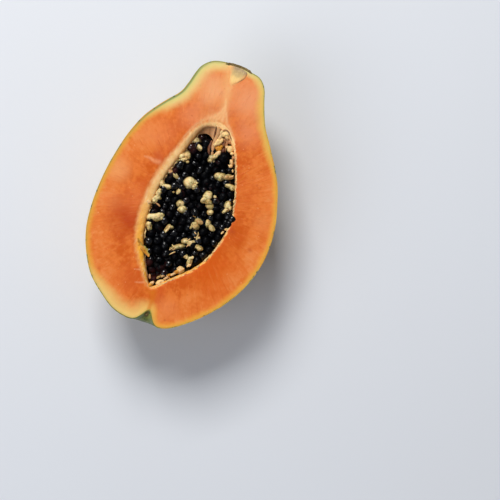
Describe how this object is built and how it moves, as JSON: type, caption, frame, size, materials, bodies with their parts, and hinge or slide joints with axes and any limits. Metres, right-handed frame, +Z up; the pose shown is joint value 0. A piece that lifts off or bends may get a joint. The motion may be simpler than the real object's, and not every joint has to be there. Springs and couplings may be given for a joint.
{
  "type": "papaya",
  "caption": "Lengthwise cut half of a papaya lying on its back, cut face up, with a seed-filled cavity, a necked stem end and a dimpled blossom end.",
  "frame": {"origin": "centre of the small flat spot underneath that the half rests on", "axes": "+Y along the fruit towards the stem end, +Z up out of the cut face, +X to the right when the cut face is seen from above with the stem end away"},
  "size_m": [0.1059, 0.1599, 0.0516],
  "materials": {
    "fruit": "satin",
    "seeds": "gloss"
  },
  "bodies": {
    "root": {"fruit_half": "fruit", "seed_mass": "seeds"}
  },
  "joints": []
}
